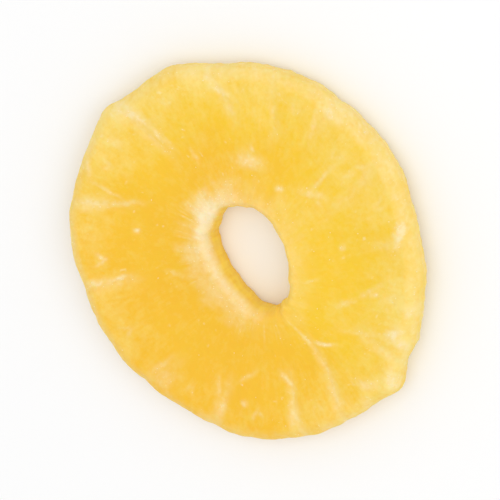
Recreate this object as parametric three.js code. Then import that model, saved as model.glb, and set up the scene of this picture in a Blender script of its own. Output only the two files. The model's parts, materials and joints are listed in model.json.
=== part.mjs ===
import * as THREE from "three";
import { LoftGeometry } from "three/addons/geometries/LoftGeometry.js";

// One ring of candied, dried pineapple, lying flat on its underside.
// Lengths are in millimetres and angles in degrees. +Z is up, and the longer way
// across the ring runs along X. Angles go round the ring from +X towards +Y.

// Driving sizes, each measured where the wall stands out furthest
const OUTER_LENGTH = 77.6;
const OUTER_WIDTH = 71;
const HOLE_LENGTH = 23;
const HOLE_WIDTH = 13.4;
const HOLE_CENTRE = new THREE.Vector2(1.4, 0.9);
const THICKNESS = 7.6;

// The hole draws to a point towards +X, bent to one side. Its outline stands out from that, or
// falls short of it, in places, and its wall leans in at the foot.
const HOLE_POINT = 0.28;
const HOLE_BEND = 0.9;
const HOLE_SWELLS = [
  { at: 12, height: -1, halfWidth: 14 },
  { at: 105, height: 0.4, halfWidth: 22 },
  { at: 150, height: -0.4, halfWidth: 26 },
  { at: 195, height: -1, halfWidth: 22 },
  { at: 235, height: -0.9, halfWidth: 20 },
  { at: 312, height: 1.1, halfWidth: 20 },
  { at: 340, height: -0.6, halfWidth: 14 },
];
const HOLE_LEAN = { at: 238, height: 0.55, halfWidth: 52 };
const LEAN_REACH = 8;

// Each rounded corner of the cross section: how far it runs across, and how far it drops
const RIM_SHOULDER = { run: 3.3, drop: 3.4 };
const RIM_FOOT = { run: 2.2, drop: 2.4 };
const HOLE_SHOULDER = { run: 2.7, drop: 2.7 };
const HOLE_FOOT = { run: 1, drop: 1.3 };
const SHARPER_SHOULDER = 0.4; // share by which the hole's shoulder is narrower on the +Y side

// Where the outline stands out from an ellipse, or falls short of it
const RIM_SWELLS = [
  { at: 15, height: 1.8, halfWidth: 6 },
  { at: 45, height: -0.25, halfWidth: 14 },
  { at: 68, height: -0.45, halfWidth: 12 },
  { at: 92, height: 0.95, halfWidth: 17 },
  { at: 124, height: 0.9, halfWidth: 18 },
  { at: 150, height: -0.25, halfWidth: 10 },
  { at: 165, height: 1, halfWidth: 9 },
  { at: 192, height: 1.3, halfWidth: 8 },
  { at: 210, height: -0.2, halfWidth: 12 },
  { at: 226, height: 0.2, halfWidth: 16 },
  { at: 250, height: -0.8, halfWidth: 14 },
  { at: 275, height: -0.2, halfWidth: 12 },
  { at: 298, height: -1.1, halfWidth: 18 },
  { at: 318, height: 0.45, halfWidth: 8 },
];

// The sunk seams between fruitlets. Each starts at an angle on the rim, leans as it runs in,
// and ends at a share of the way out from hole to rim.
const SEAMS = [
  { at: 24, lean: 3, from: 0.55, depth: 0.35 },
  { at: 64, lean: 0, from: 0.62, depth: 0.3 },
  { at: 91, lean: -6, from: 0.45, depth: 0.3 },
  { at: 111, lean: 2, from: 0.66, depth: 0.25 },
  { at: 132, lean: -5, from: 0.55, depth: 0.3 },
  { at: 153, lean: -8, from: 0.62, depth: 0.45 },
  { at: 187, lean: -4, from: 0.5, depth: 0.55 },
  { at: 223, lean: -5, from: 0.62, depth: 0.4 },
  { at: 250, lean: 1, from: 0.6, depth: 0.4 },
  { at: 284, lean: 5, from: 0.7, depth: 0.25 },
  { at: 310, lean: 1, from: 0.64, depth: 0.4 },
  { at: 340, lean: 0, from: 0.55, depth: 0.5 },
  { at: 355, lean: 9, from: 0.35, depth: 0.55 },
];
const SEAM_HALF_WIDTH = { inner: 0.6, outer: 1.3 };
const SEAM_FADE = 0.16; // share of the way across over which a seam's inner end dies away
const NOTCH_SHARE = 0.35; // how far a seam notches the outline, as a share of its depth
const NOTCH_HALF_WIDTH = 2.6;

// The faces: the flesh has dried in between hole and rim, and is plump between seams
const DISH_DEPTH = 0.95;
const PLUMPNESS = 0.4;
const PLUMP_FROM = { low: 0.35, high: 0.75 };
const UNDERSIDE_HOLLOW = 0.55;
const UNDERSIDE_SEAMS = 0.6;
const FLAT_BAND = 0.18; // relief shallower than this is pressed flat on the underside

// Long low swells of the top face, as height * sin(alongX * x + alongY * y + shift)
const ROLLS = [
  { height: 0.2, alongX: 0.19, alongY: 0.07, shift: 0.7 },
  { height: 0.16, alongX: -0.11, alongY: 0.27, shift: 1.9 },
  { height: 0.1, alongX: 0.34, alongY: -0.31, shift: 0.5 },
];

// Stretches of the rim that have curled up in drying
const CURLS = [
  { at: 58, height: 1.1, halfWidth: 34 },
  { at: 236, height: 0.8, halfWidth: 28 },
];
const CURL_POWER = 2.4;

// Ripples round the ring, as height * sin(count * angle + twist * share of height + shift)
const RIM_RIPPLES = [
  { height: 0.07, count: 13, twist: 1.1, shift: 0.4 },
  { height: 0.08, count: 21, twist: -1.4, shift: 2.1 },
  { height: 0.06, count: 29, twist: 1.9, shift: 4.4 },
];
const HOLE_RIPPLES = [
  { height: 0.2, count: 7, twist: 0.8, shift: 1.2 },
  { height: 0.12, count: 16, twist: -0.9, shift: 0.3 },
];
const WALL_BULGE = 0.35; // how far the middle of either wall stands out past its corners

// The firm lip of core left round the hole, and the furrows across it
const LIP_HEIGHT = 0.3;
const LIP_REACH = 0.24;
const LIP_FURROWS = [
  { height: 0.09, count: 17, twist: 0, shift: 0.8 },
  { height: 0.08, count: 28, twist: 0, shift: 2.6 },
];

// Steps round the ring, and steps along each stretch of a cross section
const STEPS_ROUND = 168;
const WALL_STEPS = 2;
const SHOULDER_STEPS = 4;
const FOOT_STEPS = 3;
const TOP_STEPS = 8;
const UNDER_STEPS = 6;

const radians = THREE.MathUtils.degToRad;
const { clamp, euclideanModulo, lerp } = THREE.MathUtils;

// Degrees from one angle to another, going the shorter way round
function degreesFrom(at, angle) {
  return euclideanModulo(angle - at + 180, 360) - 180;
}

// A smooth hump that is 1 at its angle and dies away on both sides
function hump(angle, at, halfWidth) {
  return Math.exp(-((degreesFrom(at, angle) / halfWidth) ** 2));
}

// Rises smoothly from 0 to 1 between two values
function rise(value, low, high) {
  const share = clamp((value - low) / (high - low), 0, 1);
  return share * share * (3 - 2 * share);
}

function sumOf(list, heightOf) {
  return list.reduce((sum, item) => sum + heightOf(item), 0);
}

function humps(list, angle) {
  return sumOf(list, ({ at, height, halfWidth }) => height * hump(angle, at, halfWidth));
}

function ripples(list, angle, share) {
  return sumOf(
    list,
    ({ height, count, twist, shift }) =>
      height * Math.sin(count * radians(angle) + twist * share + shift),
  );
}

// The point of an ellipse at an angle, moved outwards
function ellipsePoint(halfSize, angle, out) {
  const turn = new THREE.Vector2(Math.cos(radians(angle)), Math.sin(radians(angle)));
  const outward = new THREE.Vector2(halfSize.y * turn.x, halfSize.x * turn.y).normalize();
  return turn.multiply(halfSize).addScaledVector(outward, out);
}

// The outline of the ring, seen from above
function rimPoint(angle) {
  const halfSize = new THREE.Vector2(OUTER_LENGTH / 2, OUTER_WIDTH / 2);
  const notches = sumOf(
    SEAMS,
    ({ at, depth }) => NOTCH_SHARE * depth * hump(angle, at, NOTCH_HALF_WIDTH),
  );
  return ellipsePoint(halfSize, angle, humps(RIM_SWELLS, angle) - notches);
}

// The outline of the hole, seen from above
function holePoint(angle) {
  const halfSize = new THREE.Vector2(HOLE_LENGTH / 2, HOLE_WIDTH / 2);
  const turnX = Math.cos(radians(angle));
  const pointed = halfSize.y * Math.sin(radians(angle)) * HOLE_POINT * turnX;
  const bend = HOLE_BEND * Math.max(0, turnX) ** 2;
  const point = ellipsePoint(halfSize, angle, humps(HOLE_SWELLS, angle)).add(HOLE_CENTRE);
  return point.setY(point.y - pointed - bend);
}

// The angle that a seam has reached at a share of the way from hole to rim
function seamAngle({ at, lean, from }, across) {
  return at + (lean * (1 - Math.max(across, from))) / (1 - from);
}

function seamDepth(angle, across, radius) {
  const halfWidth = lerp(SEAM_HALF_WIDTH.inner, SEAM_HALF_WIDTH.outer, across);
  const depths = SEAMS.map((seam) => {
    const aside = radians(degreesFrom(seamAngle(seam, across), angle)) * radius;
    const along = rise(across, seam.from - SEAM_FADE, seam.from + SEAM_FADE);
    return seam.depth * along * Math.exp(-((aside / halfWidth) ** 2));
  });
  return Math.max(...depths);
}

// 1 in the middle of the flesh between two neighbouring seams, and 0 at either seam
function fleshBetweenSeams(angle, across) {
  const gaps = SEAMS.map((seam) => degreesFrom(seamAngle(seam, across), angle));
  const past = Math.min(...gaps.map((gap) => euclideanModulo(gap, 360)));
  const ahead = Math.min(...gaps.map((gap) => euclideanModulo(-gap, 360)));
  return Math.sin((Math.PI * past) / (past + ahead || 1));
}

function curlHeight(angle, across) {
  return humps(CURLS, angle) * across ** CURL_POWER;
}

function topHeight(angle, across, x, y, radius) {
  const dish = DISH_DEPTH * Math.sin(Math.PI * across) ** 2;
  const flesh = fleshBetweenSeams(angle, across);
  const plump = PLUMPNESS * flesh * rise(across, PLUMP_FROM.low, PLUMP_FROM.high);
  const lip = (LIP_HEIGHT + ripples(LIP_FURROWS, angle, 1)) * (1 - rise(across, 0, LIP_REACH));
  const rolls = sumOf(
    ROLLS,
    ({ height, alongX, alongY, shift }) => height * Math.sin(alongX * x + alongY * y + shift),
  );
  const relief = plump + lip + rolls - dish - seamDepth(angle, across, radius);
  return THICKNESS + relief + curlHeight(angle, across);
}

// The underside is hollowed a little, and flat wherever the drying tray has pressed it
function undersideHeight(angle, across, radius) {
  const hollow = UNDERSIDE_HOLLOW * Math.sin(Math.PI * clamp(across, 0, 1)) ** 2;
  const seams = UNDERSIDE_SEAMS * seamDepth(angle, across, radius);
  return Math.max(0, hollow + seams + curlHeight(angle, across) - FLAT_BAND);
}

function stepsAlong(count) {
  return Array.from({ length: count }, (_, step) => step / count);
}

// A cross section is a list of stations. Each says how far it is in from the hole's wall (near)
// and from the rim (far), which of the two counts (between, 0 to 1), its share of the height,
// and how squarely it faces the hole (-1) or away from it (+1).
function wall(side, fromShare, toShare) {
  return stepsAlong(WALL_STEPS).map((step) => ({
    near: 0,
    far: 0,
    between: side === -1 ? 0 : 1,
    share: lerp(fromShare, toShare, step),
    facing: side,
  }));
}

function corner(side, { run, drop }, isTop, fromWall, count) {
  return stepsAlong(count).map((step) => {
    const turned = (Math.PI / 2) * (fromWall ? step : 1 - step);
    const inset = run * (1 - Math.cos(turned));
    const fall = (drop / THICKNESS) * (1 - Math.sin(turned));
    return {
      near: inset,
      far: inset,
      between: side === -1 ? 0 : 1,
      share: isTop ? 1 - fall : fall,
      facing: side * Math.cos(turned),
    };
  });
}

function face(near, far, share, outwards, count) {
  return stepsAlong(count).map((step) => ({
    near,
    far,
    between: outwards ? step : 1 - step,
    share,
    facing: 0,
  }));
}

// Up the hole's wall, over the top, down the rim and back along the underside
function crossSection(angle) {
  const sharper = SHARPER_SHOULDER * (0.5 + 0.5 * Math.sin(radians(angle)));
  const holeShoulder = { run: HOLE_SHOULDER.run * (1 - sharper), drop: HOLE_SHOULDER.drop };
  return [
    ...wall(-1, HOLE_FOOT.drop / THICKNESS, 1 - HOLE_SHOULDER.drop / THICKNESS),
    ...corner(-1, holeShoulder, true, true, SHOULDER_STEPS),
    ...face(holeShoulder.run, RIM_SHOULDER.run, 1, true, TOP_STEPS),
    ...corner(1, RIM_SHOULDER, true, false, SHOULDER_STEPS),
    ...wall(1, 1 - RIM_SHOULDER.drop / THICKNESS, RIM_FOOT.drop / THICKNESS),
    ...corner(1, RIM_FOOT, false, true, FOOT_STEPS),
    ...face(HOLE_FOOT.run, RIM_FOOT.run, 0, false, UNDER_STEPS),
    ...corner(-1, HOLE_FOOT, false, false, FOOT_STEPS),
  ];
}

function surfacePoint(angle, { near, far, between, share, facing }) {
  const inner = holePoint(angle);
  const outer = rimPoint(angle);
  const width = outer.distanceTo(inner);
  const outwards = outer.clone().sub(inner).normalize();
  const distance = lerp(near, width - far, between);
  const across = distance / width;
  const flat = inner.clone().addScaledVector(outwards, distance);
  const radius = flat.length();

  const bulge = WALL_BULGE * (Math.sin(Math.PI * share) - 1);
  const rippling = ripples(facing < 0 ? HOLE_RIPPLES : RIM_RIPPLES, angle, share);
  const lean = humps([HOLE_LEAN], angle) * (1 - share) * clamp(1 - distance / LEAN_REACH, 0, 1);
  flat.addScaledVector(outwards, facing * (bulge + rippling) - lean);

  const top = topHeight(angle, across, flat.x, flat.y, radius);
  const under = undersideHeight(angle, across, radius);
  return new THREE.Vector3(flat.x, flat.y, lerp(under, top, share));
}

function pineappleRing() {
  const sections = [...stepsAlong(STEPS_ROUND), 0].map((turn) => {
    const angle = 360 * turn;
    return crossSection(angle).map((station) => surfacePoint(angle, station));
  });
  const geometry = new LoftGeometry(sections);
  geometry.computeBoundingBox();
  const centre = geometry.boundingBox.getCenter(new THREE.Vector3());
  geometry.translate(-centre.x, -centre.y, -geometry.boundingBox.min.z);
  return geometry;
}

const candiedFlesh = new THREE.MeshStandardMaterial({
  color: 0xfac642,
  roughness: 0.55,
  metalness: 0,
});

const slice = new THREE.Mesh(pineappleRing(), candiedFlesh);
slice.name = "pineapple_slice";

const group = new THREE.Group();
group.add(slice);

export default group;
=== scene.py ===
"""A ring of candied, dried pineapple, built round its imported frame, in a small studio."""

import json
import math
from collections import namedtuple

import bpy
import numpy as np
from mathutils import Matrix, Vector, noise

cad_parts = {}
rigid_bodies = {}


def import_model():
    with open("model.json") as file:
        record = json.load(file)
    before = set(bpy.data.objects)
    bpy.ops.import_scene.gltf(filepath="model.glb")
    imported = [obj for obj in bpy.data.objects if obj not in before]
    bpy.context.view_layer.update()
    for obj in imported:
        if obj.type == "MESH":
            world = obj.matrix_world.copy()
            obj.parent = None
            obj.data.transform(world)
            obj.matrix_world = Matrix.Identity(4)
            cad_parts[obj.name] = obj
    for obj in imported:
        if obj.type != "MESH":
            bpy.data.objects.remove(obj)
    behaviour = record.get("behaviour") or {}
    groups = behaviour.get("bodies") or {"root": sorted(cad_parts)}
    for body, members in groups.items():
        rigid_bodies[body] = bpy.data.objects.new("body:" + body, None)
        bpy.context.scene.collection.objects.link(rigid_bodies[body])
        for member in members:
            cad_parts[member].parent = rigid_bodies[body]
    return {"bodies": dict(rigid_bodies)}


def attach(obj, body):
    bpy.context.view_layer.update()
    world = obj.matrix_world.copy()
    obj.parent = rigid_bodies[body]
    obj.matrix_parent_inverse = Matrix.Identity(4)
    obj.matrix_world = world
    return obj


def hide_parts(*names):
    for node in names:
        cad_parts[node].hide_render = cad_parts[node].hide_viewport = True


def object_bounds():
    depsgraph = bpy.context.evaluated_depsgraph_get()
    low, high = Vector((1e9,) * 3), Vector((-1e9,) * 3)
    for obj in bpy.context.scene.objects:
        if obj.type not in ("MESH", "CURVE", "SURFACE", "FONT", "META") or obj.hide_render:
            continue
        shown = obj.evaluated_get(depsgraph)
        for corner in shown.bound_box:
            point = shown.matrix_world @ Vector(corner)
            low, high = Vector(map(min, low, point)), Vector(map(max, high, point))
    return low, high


bl_info = {
    "name": "Dried Pineapple Ring",
    "version": (1, 0, 0),
    "blender": (4, 5, 0),
    "location": "3D View > Sidebar > Pineapple",
    "description": "Builds a ring of candied pineapple, its sugar grains and a studio round it",
    "category": "Add Mesh",
}

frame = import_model()
CAD_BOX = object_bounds()

# Lengths are in metres and angles in degrees, going round the ring from +X towards +Y. "Across" is
# a share of the way from the hole to the rim, and "share" alone is a share of the height.
MM = 0.001
NODE = "pineapple_slice"
BODY = next(iter(frame["bodies"]))

Corner = namedtuple("Corner", "run drop")
Hump = namedtuple("Hump", "at height half_width")
Seam = namedtuple("Seam", "at lean start depth")
Ripple = namedtuple("Ripple", "height count twist shift")
Roll = namedtuple("Roll", "height along_x along_y shift")
Patch = namedtuple("Patch", "at across length width strength turn", defaults=(0,))
# The grid of points that makes the ring's skin, and for each point: its angle, its share of the way
# from hole to rim, its share of the height, which wall it is on (-1 the hole's, 1 the rim's and 0
# neither), how wide the ring is there, and how far the point is from the middle
Skin = namedtuple("Skin", "points angle across share facing width radius")

# The plain form, with the same sizes as the solid
HOLE_CENTRE = (1.4 * MM, 0.9 * MM)
HOLE_POINT = 0.28
HOLE_BEND = 0.9 * MM
HOLE_SWELLS = (
    Hump(12, -1 * MM, 14),
    Hump(105, 0.4 * MM, 22),
    Hump(150, -0.4 * MM, 26),
    Hump(195, -1 * MM, 22),
    Hump(235, -0.9 * MM, 20),
    Hump(312, 1.1 * MM, 20),
    Hump(340, -0.6 * MM, 14),
)
HOLE_LEAN = Hump(238, 0.55 * MM, 52)
LEAN_REACH = 8 * MM
RIM_SHOULDER = Corner(3.3 * MM, 3.4 * MM)
RIM_FOOT = Corner(2.2 * MM, 2.4 * MM)
HOLE_SHOULDER = Corner(2.7 * MM, 2.7 * MM)
HOLE_FOOT = Corner(1 * MM, 1.3 * MM)
SHARPER_SHOULDER = 0.4
RIM_SWELLS = (
    Hump(15, 1.8 * MM, 6),
    Hump(45, -0.25 * MM, 14),
    Hump(68, -0.45 * MM, 12),
    Hump(92, 0.95 * MM, 17),
    Hump(124, 0.9 * MM, 18),
    Hump(150, -0.25 * MM, 10),
    Hump(165, 1 * MM, 9),
    Hump(192, 1.3 * MM, 8),
    Hump(210, -0.2 * MM, 12),
    Hump(226, 0.2 * MM, 16),
    Hump(250, -0.8 * MM, 14),
    Hump(275, -0.2 * MM, 12),
    Hump(298, -1.1 * MM, 18),
    Hump(318, 0.45 * MM, 8),
)
SEAMS = (
    Seam(24, 3, 0.55, 0.35 * MM),
    Seam(64, 0, 0.62, 0.3 * MM),
    Seam(91, -6, 0.45, 0.3 * MM),
    Seam(111, 2, 0.66, 0.25 * MM),
    Seam(132, -5, 0.55, 0.3 * MM),
    Seam(153, -8, 0.62, 0.45 * MM),
    Seam(187, -4, 0.5, 0.55 * MM),
    Seam(223, -5, 0.62, 0.4 * MM),
    Seam(250, 1, 0.6, 0.4 * MM),
    Seam(284, 5, 0.7, 0.25 * MM),
    Seam(310, 1, 0.64, 0.4 * MM),
    Seam(340, 0, 0.55, 0.5 * MM),
    Seam(355, 9, 0.35, 0.55 * MM),
)
SEAM_INNER, SEAM_OUTER = 0.6 * MM, 1.3 * MM
SEAM_FADE = 0.16
NOTCH_SHARE = 0.35
NOTCH_HALF_WIDTH = 2.6
PLUMP_FROM, PLUMP_TO = 0.35, 0.75
UNDERSIDE_HOLLOW = 0.55 * MM
UNDERSIDE_SEAMS = 0.6
FLAT_BAND = 0.18 * MM
ROLLS = (
    Roll(0.2 * MM, 0.19 / MM, 0.07 / MM, 0.7),
    Roll(0.16 * MM, -0.11 / MM, 0.27 / MM, 1.9),
    Roll(0.1 * MM, 0.34 / MM, -0.31 / MM, 0.5),
)
CURLS = (Hump(58, 1.1 * MM, 34), Hump(236, 0.8 * MM, 28))
CURL_POWER = 2.4
RIM_RIPPLES = (
    Ripple(0.07 * MM, 13, 1.1, 0.4),
    Ripple(0.08 * MM, 21, -1.4, 2.1),
    Ripple(0.06 * MM, 29, 1.9, 4.4),
)
HOLE_RIPPLES = (Ripple(0.2 * MM, 7, 0.8, 1.2), Ripple(0.12 * MM, 16, -0.9, 0.3))
WALL_BULGE = 0.35 * MM
LIP_HEIGHT = 0.3 * MM
LIP_REACH = 0.24
LIP_FURROWS = (Ripple(0.09 * MM, 17, 0, 0.8), Ripple(0.08 * MM, 28, 0, 2.6))

# Steps along each stretch of a cross section
WALL_STEPS = 6
SHOULDER_STEPS = 14
FOOT_STEPS = 9
TOP_STEPS = 76
UNDER_STEPS = 26

# Dry white patches and specks on the top face: angle, share of the way across, length and width in
# millimetres, strength, and how far the length is turned from straight outwards
FROST_PATCHES = (
    Patch(67.5, 0.91, 6, 2.2, 1.0, 56),
    Patch(32.5, 0.86, 4.6, 2.8, 0.8, 50),
    Patch(30.5, 0.92, 4.8, 2.4, 0.7, -31),
    Patch(41.5, 0.94, 2.7, 3, 0.45),
    Patch(18, 0.95, 3.4, 4, 0.7),
    Patch(11.5, 0.84, 4.4, 2.4, 0.55, 51),
    Patch(26.5, 0.61, 7.3, 1.1, 0.4, 21),
    Patch(38.5, 0.45, 4.9, 1.1, 0.4, 36),
    Patch(46, 0.61, 5, 1.1, 0.4, 36),
    Patch(45, 0.65, 1.9, 0.9, 0.6, 15),
    Patch(49.5, 0.17, 3.4, 0.9, 0.35, 10),
    Patch(67, 0.44, 1.3, 1, 0.6),
    Patch(9.5, 0.42, 4.5, 1, 0.85, 55),
    Patch(2, 0.31, 3.2, 1.2, 0.8),
    Patch(0.5, 0.19, 4.9, 1, 0.3, 7),
    Patch(1, 0.53, 5.6, 1.4, 0.5, 7),
    Patch(358.5, 0.76, 6.9, 1.6, 0.45, -27),
    Patch(357, 0.86, 3.4, 1, 0.4, -79),
    Patch(339, 0.56, 4.2, 1.3, 0.65, 34),
    Patch(339, 0.77, 8, 1.8, 0.55, -10),
    Patch(319, 0.72, 1.3, 1, 0.6),
    Patch(318.5, 0.52, 4.5, 0.8, 0.35, -51),
    Patch(311, 0.82, 5, 1.7, 0.65),
    Patch(307.5, 0.69, 4.4, 1.1, 0.4, 20),
    Patch(289, 0.86, 5, 3.4, 0.35),
    Patch(284.5, 0.81, 6.6, 1.3, 0.35, -11),
    Patch(253.5, 0.3, 4.1, 0.8, 0.3, -21),
    Patch(249, 0.87, 4.6, 1.4, 0.7),
    Patch(249, 0.71, 5, 1, 0.75),
    Patch(228.5, 0.51, 1.3, 1, 0.8),
    Patch(221, 0.84, 8.1, 2.4, 0.65, 14),
    Patch(217.5, 0.63, 7.6, 1.5, 0.45, 22),
    Patch(214, 0.74, 7.2, 0.9, 0.4, -11),
    Patch(208.5, 0.93, 4.2, 1.6, 0.5, -56),
    Patch(196, 0.81, 3, 1.4, 0.35, 17),
    Patch(186, 0.94, 5, 4.4, 0.5),
    Patch(183.5, 0.86, 7.7, 2.6, 0.75, 14),
    Patch(181, 0.66, 8, 1.6, 0.55, 9),
    Patch(171.5, 0.41, 3.2, 1, 0.4),
    Patch(152.5, 0.93, 3.3, 1.6, 0.7, 22),
    Patch(149, 0.83, 4.2, 1.6, 0.7, 63),
    Patch(138, 0.34, 2.6, 5, 0.75),
    Patch(136.5, 0.43, 1.5, 0.9, 0.55, 38),
    Patch(129, 0.72, 4, 1.2, 0.4),
    Patch(113.5, 0.8, 6.3, 1.1, 0.4, 10),
    Patch(110, 0.93, 2.6, 5, 0.65),
    Patch(114.5, 0.25, 1.5, 1, 0.85, -46),
    Patch(97, 0.4, 5.4, 1.5, 0.5, -50),
    Patch(99, 0.52, 7, 0.9, 0.4),
    Patch(92.5, 0.4, 1.7, 1, 0.4, -77),
    Patch(92, 0.81, 2.4, 0.9, 0.5, -20),
    Patch(92, 0.72, 3.3, 0.9, 0.3, -17),
    Patch(84, 0.93, 7.6, 2.2, 0.25, -90),
)

# Seed pockets cut open near the rim, each a pair of slits that meet nearer the hole: angle, share
# of the way across, and strength
SEED_POCKETS = (
    (241, 0.78, 1.0),
    (205, 0.8, 0.45),
    (170, 0.8, 0.5),
    (142, 0.83, 0.35),
    (121, 0.8, 0.5),
    (101, 0.72, 0.35),
    (78, 0.8, 0.55),
    (45, 0.79, 0.5),
    (8, 0.78, 0.4),
    (349, 0.8, 0.35),
    (325, 0.79, 0.55),
    (298, 0.8, 0.4),
    (268, 0.8, 0.5),
)
POCKET_TURN = 24
POCKET_SPREAD = 0.55 * MM
# A slit's length, how much longer or shorter it may be, and its width, in millimetres
SLIT_LENGTH, SLIT_VARIES, SLIT_WIDTH = 2.2, 0.5, 0.75
PATCH_WANDER = 0.3 * MM

# The strands of fibre, and the crease at the bottom of each seam: how fast the random pattern that
# makes it wander is crossed outwards and upwards, and how far it moves on from seam to seam
STRAND_WIDTH = 0.9 * MM
STRAND_LENGTH = 4.5 * MM
STRAND_DEPTH = 1.5 * MM
SEAM_FILL = 0.65
CREASE_HALF_WIDTH = 0.5 * MM
CREASE_WANDER = 0.5 * MM
CREASE_PATH = (7.0, 2.0, 5.3)
FULL_CREASE_DEPTH = 0.45 * MM

# How much of the relief is left where the tray has pressed it flat, on the bare wall of the hole,
# and on the upper part of the rim, and how high the wall's grooves are beside the frosted ridges
PRESSED_RELIEF = 0.35
PRESSED_GRAINS = 0.4
BARE_RELIEF = 0.25
UPPER_CRUMBS = 0.15
GROOVE_SHARE = 0.6

# Random patterns: the size of their bumps, how many layers of detail they have, and a shift that
# keeps each apart from the others
FIBRE_NOISE = (1.0, 2, 3.7)
CREASE_NOISE = (1.0, 2, 0.0)
PATCH_NOISE = (2 * MM, 2, 3.1)
LUMP_NOISE = (3.6 * MM, 2, 0.0)
SMALL_LUMP_NOISE = (1.5 * MM, 2, 9.1)
GRAIN_NOISE = (0.8 * MM, 2, 3.3)
STREAK_NOISE = (1.6 * MM, 2, 5.2)
CREST_NOISE = (2.2 * MM, 2, 4.9)
CLOUD_NOISE = (4.5 * MM, 3, 2.2)
BROKEN_NOISE = (0.9 * MM, 2, 7.7)
SEAM_NOISE = (3 * MM, 2, 4.4)
SPECK_NOISE = (0.8 * MM, 1, 6.6)
PALE_NOISE = (8 * MM, 3, 5.5)
PALE_FLECK_NOISE = (2.2 * MM, 2, 1.7)
LEMON_NOISE = (12 * MM, 2, 8.3)
# The last one breaks up the painted glow on the bare wall of the hole
PAINTED_GLOW_NOISE = (2.4 * MM, 3, 6.7)
# The same for bumps that run outwards from the hole, with how many lie along a radian of the ring
TEETH_NOISE = (11, 2, 1.3)
GROOVE_NOISE = (16, 3, 2.4)
WISP_NOISE = (24, 2, 6.1)
# The crumbs on the rim: their size and shift, how wide each is as a share of its size, and the
# level from which they stand out
CRUMBS = (2.8 * MM, 4.2)
SMALL_CRUMBS = (1.4 * MM, 7.9)
CRUMB_SHARE = 0.75
CRUMB_LEVEL = 0.8

# The frosted crest round the hole: how far down the hole's wall it reaches, how thickly it is
# frosted, how far out that reaches, and the thinner halo further out over the flesh
CREST_DOWN = 1.5 * MM
CREST_FURTHER_DOWN = (Hump(240, 0.5 * MM, 22),)
CREST_FADE_UP, CREST_FADE_DOWN = 1.3 * MM, 1.1 * MM
CREST_FROST = 0.25
CREST_MORE_FROST = (
    Hump(197, 0.75, 40),
    Hump(277, 0.52, 50),
    Hump(335, -0.3, 24),
    Hump(20, -0.12, 22),
)
CREST_OUT = 2.3 * MM
CREST_FURTHER_OUT = (Hump(192, 1.5 * MM, 24), Hump(265, -0.5 * MM, 30), Hump(15, -1.2 * MM, 25))
CREST_EDGE = 1.7 * MM
CREST_RAGGED = 1.3 * MM
HALO_FROST = 0.1
HALO_MORE_FROST = (
    Hump(160, 0.2, 20),
    Hump(188, 0.4, 20),
    Hump(240, 0.3, 12),
    Hump(280, 0.24, 26),
    Hump(340, -0.08, 26),
)
HALO_OUT = 5.4 * MM
HALO_FURTHER_OUT = (Hump(262, 0.9 * MM, 30),)
HALO_EDGE = 2.2 * MM
HALO_RAGGED = 1.8 * CREST_RAGGED

# Thin wisps of frost that run outwards from the crest, and dust with a painted highlight on the wall of
# the rim
WISP_FROST = 0.4
WISP_MIDDLE = 240
WISPS_START = (2 * MM, 3.5 * MM)
WISPS_END = (4.5 * MM, 8.5 * MM)
RIM_DUST_AND_HIGHLIGHT = (
    Hump(75, 0.24, 40),
    Hump(105, 0.16, 14),
    Hump(150, 0.24, 34),
    Hump(245, 0.22, 36),
    Hump(322, 0.1, 20),
)
SEAM_FROST = 0.36
SEAM_FROST_HALF_WIDTH = 1.1 * MM
SLIT_FROST = 0.6
SPECK_FROST = 0.4

# How pale the flesh is halfway out to the rim, at the rim, and low on the walls
PALE_MIDDLE = (Hump(90, 0.22, 20), Hump(140, 0.1, 40), Hump(8, 0.13, 22), Hump(34, 0.1, 14))
PALE_RIM_LEAST = 0.36
PALE_RIM = (
    Hump(36, 0.6, 26),
    Hump(100, 0.24, 28),
    Hump(182, 0.46, 50),
    Hump(178, -0.12, 13),
    Hump(295, -0.2, 34),
)
PALE_LOWER_WALL = 0.25

# Where the flesh turns from orange gold to lemon yellow: all the way out, and only near the rim
LEMON = (Hump(40, 0.92, 50), Hump(95, 0.62, 40), Hump(205, 0.22, 34))
LEMON_RIM = (Hump(162, 0.8, 50),)

# The kinds of socket, and numbers for the materials by the names of the sockets that they go to
NUMBER, COLOUR = "NodeSocketFloat", "NodeSocketColor"
FLESH_SHADER = {"Subsurface Scale": 0.9 * MM, "Specular IOR Level": 0.22, "IOR": 1.45}
FLESH_FROSTING = {
    "Patchiness": 0.5,
    "Patch Size": 0.8 * MM,
    "Bare Roughness": 0.5,
    "Frosted Roughness": 0.85,
}
FLESH_GRAIN = {"Grain Size": 0.35 * MM}
CRYSTAL_SHADER = {"IOR": 1.54}
CRYSTAL_FROSTING = {
    "Amount": 0.4,
    "Patchiness": 1.6,
    "Patch Size": 0.6 * MM,
    "Bare Roughness": 0.2,
    "Frosted Roughness": 0.5,
}
CRYSTAL_GRAIN = {"Grain Size": 0.15 * MM}
FLOOR_SHADER = {"Roughness": 0.9, "Specular IOR Level": 0.1}
STREAK_SCALE = 0.9
CLOUD_SIZE = 3.5 * MM
MOTTLE_SIZE = 0.9 * MM
MOTTLE_SHARES = (0.5, 0.9, 1.0)
FLESH_BUMP = 0.1 * MM
CRYSTAL_BUMP = 0.02 * MM

# The sugar grains: how many shapes they come in, the least and greatest half side and cut corner of
# a shape of about one unit, the weight of a bare place beside a frosted one, and how deep they sit
GRAIN_SHAPES = 12
HALF_SIDES = (0.32, 0.5)
CUT_CORNERS = (0.15, 0.4)
BARE_WEIGHT = 0.004
GRAIN_SUNK = 0.08

# The studio: how far aside and up each light stands from the camera's line, and the lights' size
# and distance
KEY_ASIDE, KEY_UP = 0.36, -0.1
FILL_ASIDE, FILL_UP = -0.38, -0.04
LIGHT_SIZE = 0.6
LIGHT_DISTANCE = 0.9
FLOOR_REACH = 40
FLOOR_GAP = 0.02 * MM
CLIP_START = 0.01


def degrees_from(at, angle):
    """Degrees from one angle to another, going the shorter way round."""
    return (angle - at + 180.0) % 360.0 - 180.0


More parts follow.
